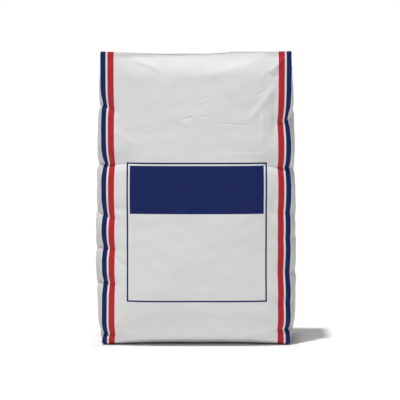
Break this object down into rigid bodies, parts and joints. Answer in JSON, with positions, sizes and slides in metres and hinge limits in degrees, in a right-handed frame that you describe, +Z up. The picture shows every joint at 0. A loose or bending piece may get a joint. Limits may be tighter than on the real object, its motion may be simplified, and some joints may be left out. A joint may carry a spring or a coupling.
{
  "type": "cement bag",
  "caption": "Filled paper valve sack of cement with square block ends, bulging faces, cover sheets on both ends and a flat filling valve in one top corner.",
  "frame": {"origin": "on the floor, under the middle of the bag", "axes": "+Z up along the bag's height, -Y towards the front printed face, +X towards the end with the filling valve"},
  "size_m": [0.4166, 0.1618, 0.5997],
  "materials": {
    "printed_paper": "satin coated white sack paper with plain printed stripes and an empty printed panel",
    "sheet_paper": "uncoated white sheet paper",
    "kraft_paper": "brown kraft paper",
    "cement_powder": "packed grey cement powder"
  },
  "bodies": {
    "root": {"sack": "printed_paper", "top_patch": "sheet_paper", "bottom_patch": "sheet_paper", "valve_sleeve": "kraft_paper", "cement": "cement_powder"}
  },
  "joints": []
}
